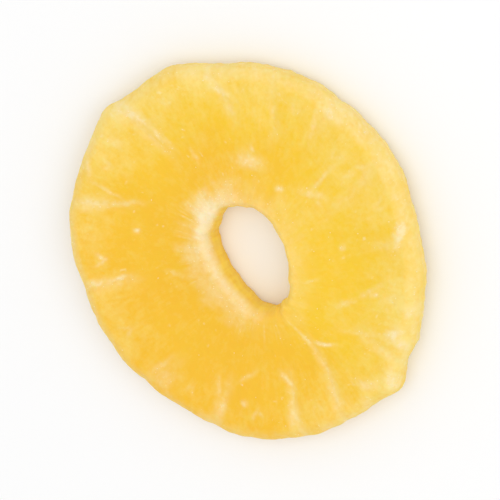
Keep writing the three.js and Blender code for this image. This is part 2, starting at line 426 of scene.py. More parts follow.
def rise(value, low, high):
    """Rises smoothly from 0 to 1 between two values."""
    share = np.clip((value - low) / (high - low), 0.0, 1.0)
    return share * share * (3.0 - 2.0 * share)


def humps(rows, angle):
    """The sum of smooth humps, each dying away on both sides of its angle."""
    return sum(
        row.height * np.exp(-((degrees_from(row.at, angle) / row.half_width) ** 2)) for row in rows
    )


def ripples(rows, angle, share):
    """The sum of waves that run round the ring and twist as they go up a wall."""
    turn = np.radians(angle)
    return sum(row.height * np.sin(row.count * turn + row.twist * share + row.shift) for row in rows)


def ellipse_point(half_x, half_y, angle, out):
    """The point of an ellipse at an angle, moved outwards."""
    turn_x, turn_y = np.cos(np.radians(angle)), np.sin(np.radians(angle))
    out_x, out_y = half_y * turn_x, half_x * turn_y
    length = np.hypot(out_x, out_y)
    return half_x * turn_x + out * out_x / length, half_y * turn_y + out * out_y / length


def rim_point(angle, shape):
    """The outline of the ring, seen from above."""
    notches = humps([Hump(s.at, NOTCH_SHARE * s.depth, NOTCH_HALF_WIDTH) for s in SEAMS], angle)
    out = humps(RIM_SWELLS, angle) - notches
    return ellipse_point(shape.outer_length / 2, shape.outer_width / 2, angle, out)


def hole_point(angle, shape):
    """The outline of the hole, seen from above."""
    x, y = ellipse_point(shape.hole_length / 2, shape.hole_width / 2, angle, humps(HOLE_SWELLS, angle))
    turn_x = np.cos(np.radians(angle))
    pointed = shape.hole_width / 2 * np.sin(np.radians(angle)) * HOLE_POINT * turn_x
    bend = HOLE_BEND * np.maximum(0.0, turn_x) ** 2
    return x + HOLE_CENTRE[0], y - pointed - bend + HOLE_CENTRE[1]


def seam_angle(seam, across):
    """The angle that a seam has reached at a share of the way from hole to rim."""
    return seam.at + seam.lean * (1.0 - np.maximum(across, seam.start)) / (1.0 - seam.start)


def seam_depth(angle, across, radius):
    """How deep the nearest seam is at each point."""
    half_width = SEAM_INNER + (SEAM_OUTER - SEAM_INNER) * across
    deepest = np.zeros_like(across)
    for seam in SEAMS:
        aside = np.radians(degrees_from(seam_angle(seam, across), angle)) * radius
        along = rise(across, seam.start - SEAM_FADE, seam.start + SEAM_FADE)
        deepest = np.maximum(deepest, seam.depth * along * np.exp(-((aside / half_width) ** 2)))
    return deepest


def flesh_between_seams(angle, across):
    """1 in the middle of the flesh between two neighbouring seams, and 0 at either seam."""
    past = np.full_like(across, 360.0)
    ahead = np.full_like(across, 360.0)
    for seam in SEAMS:
        gap = degrees_from(seam_angle(seam, across), angle)
        past = np.minimum(past, gap % 360.0)
        ahead = np.minimum(ahead, -gap % 360.0)
    return np.sin(np.pi * past / np.maximum(past + ahead, 1e-9))


def curl_height(angle, across):
    """How far the rim has curled up off the tray."""
    return humps(CURLS, angle) * across**CURL_POWER


def top_height(angle, across, x, y, radius, shape):
    """The height of the top face: dished, plump between the seams, with a lip round the hole."""
    dish = shape.dish_depth * np.sin(np.pi * across) ** 2
    plump = shape.plumpness * flesh_between_seams(angle, across) * rise(across, PLUMP_FROM, PLUMP_TO)
    lip = (LIP_HEIGHT + ripples(LIP_FURROWS, angle, 1.0)) * (1.0 - rise(across, 0.0, LIP_REACH))
    rolls = sum(row.height * np.sin(row.along_x * x + row.along_y * y + row.shift) for row in ROLLS)
    relief = plump + lip + rolls - dish - seam_depth(angle, across, radius)
    return shape.thickness + relief + curl_height(angle, across)


def underside_height(angle, across, radius):
    """The underside is hollowed a little, and flat wherever the drying tray has pressed it."""
    hollow = UNDERSIDE_HOLLOW * np.sin(np.pi * np.clip(across, 0.0, 1.0)) ** 2
    seams = UNDERSIDE_SEAMS * seam_depth(angle, across, radius)
    return np.maximum(0.0, hollow + seams + curl_height(angle, across) - FLAT_BAND)


def wall_stations(side, from_share, to_share):
    """Stations up or down a wall: near, far, between, share of the height, facing."""
    for step in np.arange(WALL_STEPS) / WALL_STEPS:
        share = from_share + (to_share - from_share) * step
        yield 0.0, 0.0, float(side > 0), share, float(side)


def corner_stations(side, corner, is_top, from_wall, count, thickness):
    """Stations round one rounded corner of the cross section."""
    for step in np.arange(count) / count:
        turned = math.pi / 2 * (step if from_wall else 1.0 - step)
        inset = corner.run * (1.0 - math.cos(turned))
        fall = corner.drop / thickness * (1.0 - math.sin(turned))
        share = 1.0 - fall if is_top else fall
        yield inset, inset, float(side > 0), share, side * math.cos(turned)


def face_stations(near, far, share, outwards, count):
    """Stations across the top face or the underside."""
    for step in np.arange(count) / count:
        yield near, far, step if outwards else 1.0 - step, share, 0.0


def cross_section(angle, shape):
    """Up the hole's wall, over the top, down the rim and back, as rows over all the angles."""
    thick = shape.thickness
    sharper = SHARPER_SHOULDER * (0.5 + 0.5 * np.sin(np.radians(angle)))
    hole_shoulder = Corner(HOLE_SHOULDER.run * (1.0 - sharper), HOLE_SHOULDER.drop)
    rows = [
        *wall_stations(-1, HOLE_FOOT.drop / thick, 1.0 - HOLE_SHOULDER.drop / thick),
        *corner_stations(-1, hole_shoulder, True, True, SHOULDER_STEPS, thick),
        *face_stations(hole_shoulder.run, RIM_SHOULDER.run, 1.0, True, TOP_STEPS),
        *corner_stations(1, RIM_SHOULDER, True, False, SHOULDER_STEPS, thick),
        *wall_stations(1, 1.0 - RIM_SHOULDER.drop / thick, RIM_FOOT.drop / thick),
        *corner_stations(1, RIM_FOOT, False, True, FOOT_STEPS, thick),
        *face_stations(HOLE_FOOT.run, RIM_FOOT.run, 0.0, False, UNDER_STEPS),
        *corner_stations(-1, HOLE_FOOT, False, False, FOOT_STEPS, thick),
    ]
    return [np.stack([value + 0.0 * angle for value in column], axis=1) for column in zip(*rows)]


def plain_skin(shape):
    """The ring's plain form as a closed grid of points: round the ring, then round its section."""
    angle = np.arange(shape.steps_round) * 360.0 / shape.steps_round
    near, far, between, share, facing = cross_section(angle, shape)
    angle = np.repeat(angle[:, None], near.shape[1], axis=1)
    inner_x, inner_y = hole_point(angle, shape)
    outer_x, outer_y = rim_point(angle, shape)
    width = np.hypot(outer_x - inner_x, outer_y - inner_y)
    out_x, out_y = (outer_x - inner_x) / width, (outer_y - inner_y) / width
    distance = near + (width - far - near) * between
    across = distance / width
    x, y = inner_x + out_x * distance, inner_y + out_y * distance
    radius = np.hypot(x, y)

    bulge = WALL_BULGE * (np.sin(np.pi * share) - 1.0)
    hole_side = ripples(HOLE_RIPPLES, angle, share)
    rim_side = ripples(RIM_RIPPLES, angle, share)
    lean = humps([HOLE_LEAN], angle) * (1.0 - share) * np.clip(1.0 - distance / LEAN_REACH, 0.0, 1.0)
    stand = facing * (bulge + np.where(facing < 0.0, hole_side, rim_side)) - lean
    x, y = x + out_x * stand, y + out_y * stand

    top = top_height(angle, across, x, y, radius, shape)
    under = underside_height(angle, across, radius)
    points = np.stack([x, y, under + (top - under) * share], axis=-1)
    low, high = points.min(axis=(0, 1)), points.max(axis=(0, 1))
    frame_low, frame_high = np.array(CAD_BOX[0]), np.array(CAD_BOX[1])
    shift = (frame_low + frame_high - low - high) / 2
    shift[2] = frame_low[2] - low[2]
    return Skin(points + shift, angle, across, share, facing, width, radius)


def skin_normals(points):
    """Which way the grid of points faces, outwards, at each of them."""
    round_ring = np.roll(points, -1, axis=0) - np.roll(points, 1, axis=0)
    round_section = np.roll(points, -1, axis=1) - np.roll(points, 1, axis=1)
    normal = np.cross(round_section, round_ring)
    return normal / np.linalg.norm(normal, axis=-1, keepdims=True)


def unevenness(points, size, octaves, shift):
    """Smooth random heights between about -1 and 1, with bumps of one size."""
    rows = (points.reshape(-1, 3) / size + shift).tolist()
    if octaves == 1:
        values = (noise.noise(row) for row in rows)
    else:
        values = (noise.fractal(row, 1.0, 2.0, octaves) for row in rows)
    return np.fromiter(values, float, len(rows)).reshape(points.shape[:-1])


def crumbs(points, size, shift):
    """Rounded bumps with sharp valleys between them, from 0 in a valley to about 1."""
    rows = (points.reshape(-1, 3) / size + shift).tolist()
    values = (noise.voronoi(row)[0][0] for row in rows)
    nearest = np.fromiter(values, float, len(rows)).reshape(points.shape[:-1])
    return np.clip(1.0 - nearest / CRUMB_SHARE, 0.0, 1.0)


def strand_space(skin, shape):
    """Coordinates in which a strand of core fibre, running outwards, is one unit wide."""
    turn = np.radians(skin.angle)
    spread = shape.outer_length / 2 / STRAND_WIDTH
    along = skin.across * shape.outer_length / 2 / STRAND_LENGTH
    depth = skin.share * shape.thickness / STRAND_DEPTH
    return np.stack([np.cos(turn) * spread, np.sin(turn) * spread, along + depth], axis=-1)


def round_hole(skin, count, octaves, shift):
    """Smooth random values that change only round the ring, so that they run outwards as teeth."""
    turn = np.radians(skin.angle)
    path = np.stack([np.cos(turn) * count, np.sin(turn) * count, 0.0 * turn], axis=-1)
    return unevenness(path, 1.0, octaves, shift)


def wall_streaks(skin):
    """Fine streaks, between about -1 and 1, that run up and down the wall of the hole."""
    return round_hole(skin, *GROOVE_NOISE) + 0.5 * unevenness(skin.points, *STREAK_NOISE)


def seam_crease(skin, half_width):
    """1 along the wandering line at the bottom of each seam, fading over a half width."""
    nearest = np.zeros_like(skin.across)
    out, up, apart = CREASE_PATH
    for number, seam in enumerate(SEAMS):
        path = [skin.across * out, skin.share * up, np.full_like(skin.across, number * apart)]
        wander = CREASE_WANDER * unevenness(np.stack(path, axis=-1), *CREASE_NOISE)
        aside = np.radians(degrees_from(seam_angle(seam, skin.across), skin.angle)) * skin.radius
        along = rise(skin.across, seam.start - SEAM_FADE, seam.start + SEAM_FADE)
        strength = along * min(1.0, seam.depth / FULL_CREASE_DEPTH)
        nearest = np.maximum(nearest, strength * np.exp(-(((aside - wander) / half_width) ** 2)))
    return nearest


def patch_strength(skin, rows):
    """How strongly the listed patches cover each point of the top."""
    strongest = np.zeros_like(skin.across)
    wander = PATCH_WANDER * unevenness(skin.points, *PATCH_NOISE)
    for row in rows:
        turn = math.radians(row.turn)
        aside = np.radians(degrees_from(row.at, skin.angle)) * skin.radius + wander
        along = (skin.across - row.across) * skin.width
        lengthwise = (along * math.cos(turn) + aside * math.sin(turn)) / (row.length * MM / 2)
        crosswise = (aside * math.cos(turn) - along * math.sin(turn)) / (row.width * MM / 2)
        strongest = np.maximum(strongest, row.strength * np.exp(-(lengthwise**2) - crosswise**2))
    return strongest * rise(skin.share, 0.3, 0.7)


def seed_slits(skin):
    """How strongly the pairs of seed slits mark each point of the top."""
    rows = []
    for at, across, strength in SEED_POCKETS:
        aside = math.degrees(POCKET_SPREAD / (skin.radius.max() * across))
        for side in (-1, 1):
            length = SLIT_LENGTH + SLIT_VARIES * side * math.sin(at)
            turn = side * POCKET_TURN
            rows.append(Patch(at + side * aside, across, length, SLIT_WIDTH, strength, turn))
    return patch_strength(skin, rows)


def at_least(least, share):
    """A share from 0 to 1 carried to the range from a least value to 1."""
    return least + (1.0 - least) * share


def fine_relief(skin, shape, relief):
    """How far the skin stands out from the plain form, at each point."""
    points = skin.points
    on_face = 1.0 - np.abs(skin.facing)
    on_rim = np.clip(skin.facing, 0.0, 1.0)
    upper = rise(skin.share, 0.15, 0.6)
    pressed = at_least(PRESSED_RELIEF, upper)
    bare = bare_wall(skin, shape)
    calm = at_least(BARE_RELIEF, 1.0 - bare)

    ridges = 1.0 - 2.0 * np.abs(unevenness(strand_space(skin, shape), *FIBRE_NOISE))
    fibres = relief.fibres * ridges * rise(skin.across, 0.3, 0.7) * on_face * pressed

    lumps = unevenness(points, *LUMP_NOISE) + 0.55 * unevenness(points, *SMALL_LUMP_NOISE)
    lumps = relief.lumps * lumps * pressed * calm
    grains = relief.grains * unevenness(points, *GRAIN_NOISE) * at_least(PRESSED_GRAINS, upper) * calm

    crumbled = crumbs(points, *CRUMBS) + 0.5 * crumbs(points, *SMALL_CRUMBS) - CRUMB_LEVEL
    lower_wall = at_least(UPPER_CRUMBS, 1.0 - rise(skin.share, 0.2, 0.5))
    rim_bumps = relief.rim_bumps * crumbled * rise(on_rim, 0.15, 0.9) * lower_wall

    teeth = relief.teeth * (0.4 + round_hole(skin, *TEETH_NOISE)) * crest_frost(skin, bare)
    grooves = GROOVE_SHARE * relief.teeth * bare * wall_streaks(skin)

    fill = SEAM_FILL * seam_depth(skin.angle, skin.across, skin.radius) * on_face * upper
    crease = relief.creases * seam_crease(skin, CREASE_HALF_WIDTH) * (1.0 - 0.5 * on_rim)
    slits = relief.slits * seed_slits(skin)
    return fibres + lumps + grains + rim_bumps + teeth + grooves + fill - crease - slits


def bare_wall(skin, shape):
    """1 on the bare wall of the hole, fading to 0 up to the frosted crest."""
    below = (1.0 - skin.share) * shape.thickness
    lowest = CREST_DOWN + humps(CREST_FURTHER_DOWN, skin.angle)
    on_wall = np.where(skin.facing < 0.0, 1.0, 0.0)
    return rise(below, lowest - CREST_FADE_UP, lowest + CREST_FADE_DOWN) * on_wall


def faded(distance, end, half_width):
    """1 up to about an end, and then fading to 0."""
    return 1.0 - rise(distance, end - half_width, end + half_width)


def crest_frost(skin, bare):
    """How frosted the crest round the hole and the halo round the crest are, from 0 to about 1."""
    from_hole = skin.across * skin.width
    ragged = 0.6 * round_hole(skin, *TEETH_NOISE) + 0.6 * unevenness(skin.points, *CREST_NOISE)
    crest_out = CREST_OUT + humps(CREST_FURTHER_OUT, skin.angle) + CREST_RAGGED * ragged
    halo_out = HALO_OUT + humps(HALO_FURTHER_OUT, skin.angle) + HALO_RAGGED * ragged
    crest = CREST_FROST + humps(CREST_MORE_FROST, skin.angle)
    halo = (HALO_FROST + humps(HALO_MORE_FROST, skin.angle)) * faded(from_hole, halo_out, HALO_EDGE)
    frosted = halo + (crest - halo) * faded(from_hole, crest_out, CREST_EDGE)
    return frosted * (1.0 - bare) * rise(skin.share, 0.4, 0.7)


def frosting_amount(skin, shape):
    """How thickly dry sugar whitens each point, from 0 to 1, with dust and a painted highlight on the
    rim's wall.
    """
    points = skin.points
    upper = rise(skin.share, 0.3, 0.75)
    cloudy = unevenness(points, *CLOUD_NOISE)
    broken = rise(unevenness(points, *BROKEN_NOISE), -0.25, 0.4)
    from_hole = skin.across * skin.width
    bare = bare_wall(skin, shape)

    strong = 0.55 + 0.45 * rise(unevenness(points, *SEAM_NOISE), -0.35, 0.35) + 0.2 * (broken - 0.4)
    seams = SEAM_FROST * seam_crease(skin, SEAM_FROST_HALF_WIDTH) * strong
    crest = crest_frost(skin, bare) * (0.94 + 0.12 * broken)
    wisps = rise(round_hole(skin, *WISP_NOISE) + 0.4 * cloudy, 0.0, 0.5) * at_least(0.5, broken)
    wisps = WISP_FROST * wisps * rise(from_hole, *WISPS_START) * (1.0 - rise(from_hole, *WISPS_END))
    wisps = wisps * rise(np.cos(np.radians(skin.angle - WISP_MIDDLE)), -0.6, 0.4)
    rim_band = rise(skin.across, 0.88, 0.98) * (0.03 + 0.25 * cloudy + 0.1 * broken)
    patches = patch_strength(skin, FROST_PATCHES) * (0.6 + 0.45 * broken)
    slits = SLIT_FROST * seed_slits(skin) * (0.6 + 0.5 * broken)
    specks = SPECK_FROST * rise(unevenness(points, *SPECK_NOISE), 0.55, 0.7) * rise(cloudy, -0.1, 0.35)
    top = np.maximum.reduce([seams, crest, wisps, rim_band, patches, slits, specks])

    edge = np.abs(skin.facing)
    # Dust and painted highlight: the rim's outer wall is made paler at some angles round the ring
    dust_and_highlight = humps(RIM_DUST_AND_HIGHLIGHT, skin.angle) * rise(skin.facing, 0.05, 0.6) * (0.6 + 0.6 * broken)
    wall = edge * (1.0 - bare) * np.clip(0.06 + 0.3 * cloudy + 0.2 * (broken - 0.4), 0.0, 1.0)
    under = np.maximum(0.35 * seams, 0.12 + 0.35 * cloudy + 0.12 * broken) * (1.0 - edge)
    on_faces = top * upper + under * (1.0 - upper)
    return np.clip(np.maximum.reduce([on_faces, wall, dust_and_highlight]), 0.0, 1.0)


def paleness_amount(skin):
    """How pale the flesh is at each point, from 0, deep gold, to 1."""
    points = skin.points
    middle = humps(PALE_MIDDLE, skin.angle)
    towards_rim = rise(skin.across, 0.5, 1.05) * (PALE_RIM_LEAST + humps(PALE_RIM, skin.angle) - middle)
    cloudy = 0.28 * unevenness(points, *PALE_NOISE) + 0.12 * unevenness(points, *PALE_FLECK_NOISE)
    lower_wall = 0.6 * rise(np.abs(skin.facing), 0.5, 1.0) * (1.0 - rise(skin.share, 0.5, 0.85))
    top = middle + towards_rim
    return np.clip(top + lower_wall * (PALE_LOWER_WALL - top) + cloudy * (0.6 + 0.8 * top), 0.0, 1.0)


def lemon_amount(skin):
    """How far the deep colour of the flesh has turned to lemon yellow, from 0 to 1."""
    near_rim = rise(skin.across, 0.3, 0.65)
    turned = humps(LEMON, skin.angle) + humps(LEMON_RIM, skin.angle) * near_rim
    return np.clip(turned + 0.25 * unevenness(skin.points, *LEMON_NOISE), 0.0, 1.0)


def painted_glow_amount(skin, shape):
    """Painted light: how far the bare wall of the hole is brightened by a painted glow, as if light came
    through it, from 0 to 1.
    """
    uneven = unevenness(skin.points, *PAINTED_GLOW_NOISE) + 0.8 * wall_streaks(skin)
    on_wall = bare_wall(skin, shape) * rise(skin.share, 0.1, 0.4)
    return np.clip(on_wall * (0.78 + 0.5 * uneven), 0.0, 1.0)


def grid_mesh(name, points):
    """A closed mesh of quads over a grid that joins up both ways."""
    rings, stations = points.shape[:2]
    index = np.arange(rings * stations).reshape(rings, stations)
    following = np.roll(index, -1, axis=0)
    quads = np.stack(
        [index, np.roll(index, -1, axis=1), np.roll(following, -1, axis=1), following], axis=-1
    )
    mesh = bpy.data.meshes.new(name)
    mesh.from_pydata(points.reshape(-1, 3).tolist(), [], quads.reshape(-1, 4).tolist())
    mesh.polygons.foreach_set("use_smooth", [True] * len(mesh.polygons))
    unroll(mesh, points)
    mesh.update()
    return mesh


def unroll(mesh, points):
    """Lays the grid out flat as one strip, round the ring along u and round its section along v."""
    rings, stations = points.shape[:2]
    step = np.linalg.norm(np.roll(points, -1, axis=1) - points, axis=-1).mean(axis=0)
    v = np.concatenate([[0.0], np.cumsum(step)]) / step.sum()
    u = np.arange(rings + 1) / rings
    first, second = np.meshgrid(np.arange(rings), np.arange(stations), indexing="ij")
    corners = ((0, 0), (0, 1), (1, 1), (1, 0))
    laid = np.stack([np.stack([u[first + i], v[second + j]], axis=-1) for i, j in corners], axis=2)
    layer = mesh.uv_layers.new(name="OFBake")
    layer.data.foreach_set("uv", laid.ravel().astype(np.float32))


def store_values(mesh, name, values):
    """Keeps one number for each point on the mesh, for its material to read."""
    kept = mesh.attributes.new(name, "FLOAT", "POINT")
    kept.data.foreach_set("value", values.ravel().astype(np.float32))


def store_vectors(mesh, name, vectors):
    """Keeps one vector for each point on the mesh."""
    kept = mesh.attributes.new(name, "FLOAT_VECTOR", "POINT")
    kept.data.foreach_set("vector", vectors.ravel().astype(np.float32))


def add_object(name, data):
    """Puts a new object into the scene."""
    added = bpy.data.objects.new(name, data)
    bpy.context.scene.collection.objects.link(added)
    return added


def add_piece(name, mesh, material):
    """Puts a mesh into the scene as a piece that rides on the slice's body."""
    piece = add_object(name, mesh)
    mesh.materials.append(material)
    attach(piece, BODY)
    return piece


def linear(colour):
    """A display colour as the linear one that nodes use, with full alpha."""
    return (*colour[:3], 1.0)


def new_group(name, inputs, outputs):
    """A shader node group with its sockets, its nodes and its links still to be made."""
    group = bpy.data.node_groups.new(name, "ShaderNodeTree")
    for label, kind, default in inputs:
        socket = group.interface.new_socket(label, in_out="INPUT", socket_type=kind)
        socket.default_value = default
    for label, kind in outputs:
        group.interface.new_socket(label, in_out="OUTPUT", socket_type=kind)
    return group, group.nodes.new("NodeGroupInput"), group.nodes.new("NodeGroupOutput")


def add_node(tree, kind, settings=None, values=None):
    """A node with its settings, and with values or links on its inputs."""
    node = tree.nodes.new(kind)
    for name, setting in (settings or {}).items():
        setattr(node, name, setting)
    for name, value in (values or {}).items():
        if isinstance(value, bpy.types.NodeSocket):
            tree.links.new(value, node.inputs[name])
        else:
            node.inputs[name].default_value = value
    return node


def add_math(tree, operation, first, second=0.0, clamp=False):
    """A sum, product or other result of two values."""
    settings = {"operation": operation, "use_clamp": clamp}
    return add_node(tree, "ShaderNodeMath", settings, {0: first, 1: second}).outputs[0]


def add_mix(tree, factor, first, second):
    """One colour mixed into another."""
    values = {"Factor": factor, 6: first, 7: second}
    return add_node(tree, "ShaderNodeMix", {"data_type": "RGBA"}, values).outputs[2]


def add_noise(tree, place, scale, detail, roughness):
    """Smooth random values from 0 to 1."""
    values = {"Vector": place, "Scale": scale, "Detail": detail, "Roughness": roughness}
    return add_node(tree, "ShaderNodeTexNoise", None, values).outputs[0]


def add_range(tree, value, low, high, to_low=0.0, to_high=1.0):
    """A value carried smoothly from one range to another."""
    values = {"Value": value, "From Min": low, "From Max": high, "To Min": to_low, "To Max": to_high}
    return add_node(tree, "ShaderNodeMapRange", {"interpolation_type": "SMOOTHSTEP"}, values).outputs[0]


def grain_group():
    """The fine dry grain of sugar on a candied surface, as a height from 0 to 1."""
    group, given, result = new_group(
        "Sugar grain",
        [("Grain Size", NUMBER, 0.35 * MM), ("Coarse Share", NUMBER, 0.4)],
        [("Height", NUMBER)],
    )
    place = group.nodes.new("ShaderNodeTexCoord").outputs["Object"]
    fineness = add_math(group, "DIVIDE", 1.0, given.outputs["Grain Size"])
    fine = add_noise(group, place, fineness, 3.0, 0.65)
    coarse = add_node(
        group,
        "ShaderNodeTexVoronoi",
        {"feature": "F1"},
        {"Vector": place, "Scale": add_math(group, "MULTIPLY", fineness, 0.5)},
    )
    values = {"Factor": given.outputs["Coarse Share"], 2: fine, 3: coarse.outputs[0]}
    mixed = add_node(group, "ShaderNodeMix", {"data_type": "FLOAT"}, values)
    group.links.new(mixed.outputs[0], result.inputs["Height"])
    return group


def frosting_group():
    """Dry sugar over a colour: paler and rougher where it lies."""
    group, given, result = new_group(
        "Sugar frosting",
        [
            ("Colour", COLOUR, (1.0, 1.0, 1.0, 1.0)),
            ("Frost Colour", COLOUR, (1.0, 1.0, 1.0, 1.0)),
            ("Amount", NUMBER, 0.0),
            ("Patchiness", NUMBER, 0.5),
            ("Patch Size", NUMBER, 1.2 * MM),
            ("Bare Roughness", NUMBER, 0.45),
            ("Frosted Roughness", NUMBER, 0.8),
        ],
        [("Colour", COLOUR), ("Roughness", NUMBER), ("Frost", NUMBER)],
    )
    place = group.nodes.new("ShaderNodeTexCoord").outputs["Object"]
    fineness = add_math(group, "DIVIDE", 1.0, given.outputs["Patch Size"])
    uneven = add_math(group, "SUBTRACT", add_noise(group, place, fineness, 4.0, 0.7), 0.5)
    uneven = add_math(group, "MULTIPLY", uneven, given.outputs["Patchiness"])
    amount = given.outputs["Amount"]
    weighted = add_math(group, "MULTIPLY", uneven, add_range(group, amount, 0.0, 0.3))
    frost = add_math(group, "ADD", amount, weighted, True)
    colour = add_mix(group, frost, given.outputs["Colour"], given.outputs["Frost Colour"])
    rough, rougher = given.outputs["Bare Roughness"], given.outputs["Frosted Roughness"]
    values = {"Factor": frost, 2: rough, 3: rougher}
    roughness = add_node(group, "ShaderNodeMix", {"data_type": "FLOAT"}, values)
    group.links.new(colour, result.inputs["Colour"])
    group.links.new(roughness.outputs[0], result.inputs["Roughness"])
    group.links.new(frost, result.inputs["Frost"])
    return group


GROUPS = {"Sugar grain": grain_group, "Sugar frosting": frosting_group}


def place_group(tree, name, values):
    """A shared node group placed in a material, made the first time that it is asked for."""
    group = bpy.data.node_groups.get(name) or GROUPS[name]()
    return add_node(tree, "ShaderNodeGroup", {"node_tree": group}, values)


def read_value(tree, name):
    """A number that store_values has kept on the mesh."""
    return add_node(tree, "ShaderNodeAttribute", {"attribute_name": name}).outputs["Fac"]


def new_material(name, settings):
    """A material, its node tree and its shader, with plain values on the shader's own sockets."""
    material = bpy.data.materials.new(name)
    material.use_nodes = True
    shader = material.node_tree.nodes["Principled BSDF"]
    for socket, value in settings.items():
        shader.inputs[socket].default_value = value
    return material, material.node_tree, shader


def feed_shader(tree, shader, frosted, bump):
    """Links a frosting's colour and roughness, and a bump, to the shader."""
    tree.links.new(frosted.outputs["Colour"], shader.inputs["Base Color"])
    tree.links.new(frosted.outputs["Roughness"], shader.inputs["Roughness"])
    tree.links.new(bump.outputs["Normal"], shader.inputs["Normal"])


def add_layers(tree, layers):
    """The sum of several layers, each times its share."""
    total, *rest = [add_math(tree, "MULTIPLY", layer, share) for layer, share in layers]
    for layer in rest:
        total = add_math(tree, "ADD", total, layer)
    return total


def flesh_colour(tree, finish, streaks, clouds, mottling):
    """The flesh's colour, from deep gold or lemon to pale, and brightened by a painted glow on the bare
    wall of the hole.
    """
    layers = zip((streaks, clouds, mottling), MOTTLE_SHARES)
    uneven = add_math(tree, "SUBTRACT", add_layers(tree, layers), sum(MOTTLE_SHARES) / 2)
    even_paleness = read_value(tree, "paleness")
    strength = add_math(tree, "ADD", add_math(tree, "MULTIPLY", even_paleness, 0.9), 0.55)
    strength = add_math(tree, "MULTIPLY", strength, finish.mottling)
    uneven = add_math(tree, "MULTIPLY", uneven, strength)
    paleness = add_math(tree, "ADD", even_paleness, uneven, True)
    deep, lemon = linear(finish.deep_colour), linear(finish.lemon_colour)
    flesh = add_mix(tree, read_value(tree, "lemon"), deep, lemon)
    flesh = add_mix(tree, paleness, flesh, linear(finish.pale_colour))
    # Painted light: the bare wall of the hole is brightened towards a glow colour
    return add_mix(tree, read_value(tree, "painted_glow"), flesh, linear(finish.painted_glow_colour))


def candied_flesh(finish):
    """Golden, slightly translucent flesh, mottled deep and pale, under dry white sugar."""
    material, tree, shader = new_material("candied_flesh", FLESH_SHADER)
    shader.inputs["Subsurface Weight"].default_value = finish.translucency
    shader.inputs["Subsurface Radius"].default_value = finish.light_reach

    strands = add_node(tree, "ShaderNodeAttribute", {"attribute_name": "strand_space"}).outputs["Vector"]
    place = tree.nodes.new("ShaderNodeTexCoord").outputs["Object"]
    streaks = add_noise(tree, strands, STREAK_SCALE, 3.0, 0.6)
    clouds = add_noise(tree, place, 1 / CLOUD_SIZE, 2.0, 0.5)
    mottling = add_noise(tree, place, 1 / MOTTLE_SIZE, 3.0, 0.6)
    values = {
        "Colour": flesh_colour(tree, finish, streaks, clouds, mottling),
        "Frost Colour": linear(finish.frost_colour),
        "Amount": read_value(tree, "frosting"),
    }
    frosted = place_group(tree, "Sugar frosting", FLESH_FROSTING | values)
    grain = place_group(tree, "Sugar grain", FLESH_GRAIN).outputs["Height"]
    frost = frosted.outputs["Frost"]
    grain_share = add_range(tree, frost, 0.0, 1.0, 0.5, 0.75)
    height = add_layers(tree, ((grain, grain_share), (streaks, 0.4), (mottling, 0.6)))
    values = {"Height": height, "Distance": FLESH_BUMP, "Strength": finish.bump}
    feed_shader(tree, shader, frosted, add_node(tree, "ShaderNodeBump", None, values))
    return material


def sugar_crystal(finish):
    """Clear to milky grains of sugar, tinted by the fruit."""
    material, tree, shader = new_material("sugar_crystal", CRYSTAL_SHADER)
    colours = {"Colour": linear(finish.grain_colour), "Frost Colour": linear(finish.frost_colour)}
    frosted = place_group(tree, "Sugar frosting", CRYSTAL_FROSTING | colours)
    grain = place_group(tree, "Sugar grain", CRYSTAL_GRAIN).outputs["Height"]
    values = {"Height": grain, "Distance": CRYSTAL_BUMP}
    feed_shader(tree, shader, frosted, add_node(tree, "ShaderNodeBump", None, values))
    return material


def finished_skin(scene):
    """The ring's skin with all its fine relief, lying on the floor."""
    skin = plain_skin(scene.pineapple_shape)
    relief = fine_relief(skin, scene.pineapple_shape, scene.pineapple_relief)
    points = skin.points + skin_normals(skin.points) * relief[..., None]
    points[..., 2] = np.maximum(points[..., 2], CAD_BOX[0].z)
    return skin, points


class PINEAPPLE_PG_shape(bpy.types.PropertyGroup):
    outer_length: bpy.props.FloatProperty(
        name="Length", description="Longer way across the ring",
        default=77.6 * MM, unit="LENGTH", precision=4,
    )
    outer_width: bpy.props.FloatProperty(
        name="Width", description="Shorter way across the ring",
        default=71 * MM, unit="LENGTH", precision=4,
    )
    hole_length: bpy.props.FloatProperty(
        name="Hole length", description="Longer way across the hole",
        default=23 * MM, unit="LENGTH", precision=4,
    )
    hole_width: bpy.props.FloatProperty(
        name="Hole width", description="Shorter way across the hole",
        default=13.4 * MM, unit="LENGTH", precision=4,
    )
    thickness: bpy.props.FloatProperty(
        name="Thickness", description="From underside to top face",
        default=7.6 * MM, unit="LENGTH", precision=4,
    )
    dish_depth: bpy.props.FloatProperty(
        name="Dish", description="How far the top sinks between hole and rim",
        default=0.95 * MM, unit="LENGTH", precision=5,
    )
    plumpness: bpy.props.FloatProperty(
        name="Plumpness", description="How far the flesh swells between seams",
        default=0.4 * MM, unit="LENGTH", precision=5,
    )
    steps_round: bpy.props.IntProperty(
        name="Steps round", description="Cross sections round the ring", default=600, min=60
    )


class PINEAPPLE_PG_relief(bpy.types.PropertyGroup):
    fibres: bpy.props.FloatProperty(
        name="Fibres", description="Height of the fibre ridges",
        default=0.035 * MM, unit="LENGTH", precision=6,
    )
    lumps: bpy.props.FloatProperty(
        name="Lumps", description="Height of the soft lumps",
        default=0.12 * MM, unit="LENGTH", precision=6,
    )
    grains: bpy.props.FloatProperty(
        name="Grains", description="Height of the fine grain of the flesh",
        default=0.045 * MM, unit="LENGTH", precision=6,
    )
    rim_bumps: bpy.props.FloatProperty(
        name="Rim bumps", description="Height of the rim's crumbly bumps",
        default=0.4 * MM, unit="LENGTH", precision=6,
    )
    teeth: bpy.props.FloatProperty(
        name="Teeth", description="Height of the frosted ridges round the hole",
        default=0.12 * MM, unit="LENGTH", precision=6,
    )
    creases: bpy.props.FloatProperty(
        name="Creases", description="Depth of the line in each seam",
        default=0.04 * MM, unit="LENGTH", precision=6,
    )
    slits: bpy.props.FloatProperty(
        name="Slits", description="Depth of the cut seed pockets",
        default=0.18 * MM, unit="LENGTH", precision=6,
    )


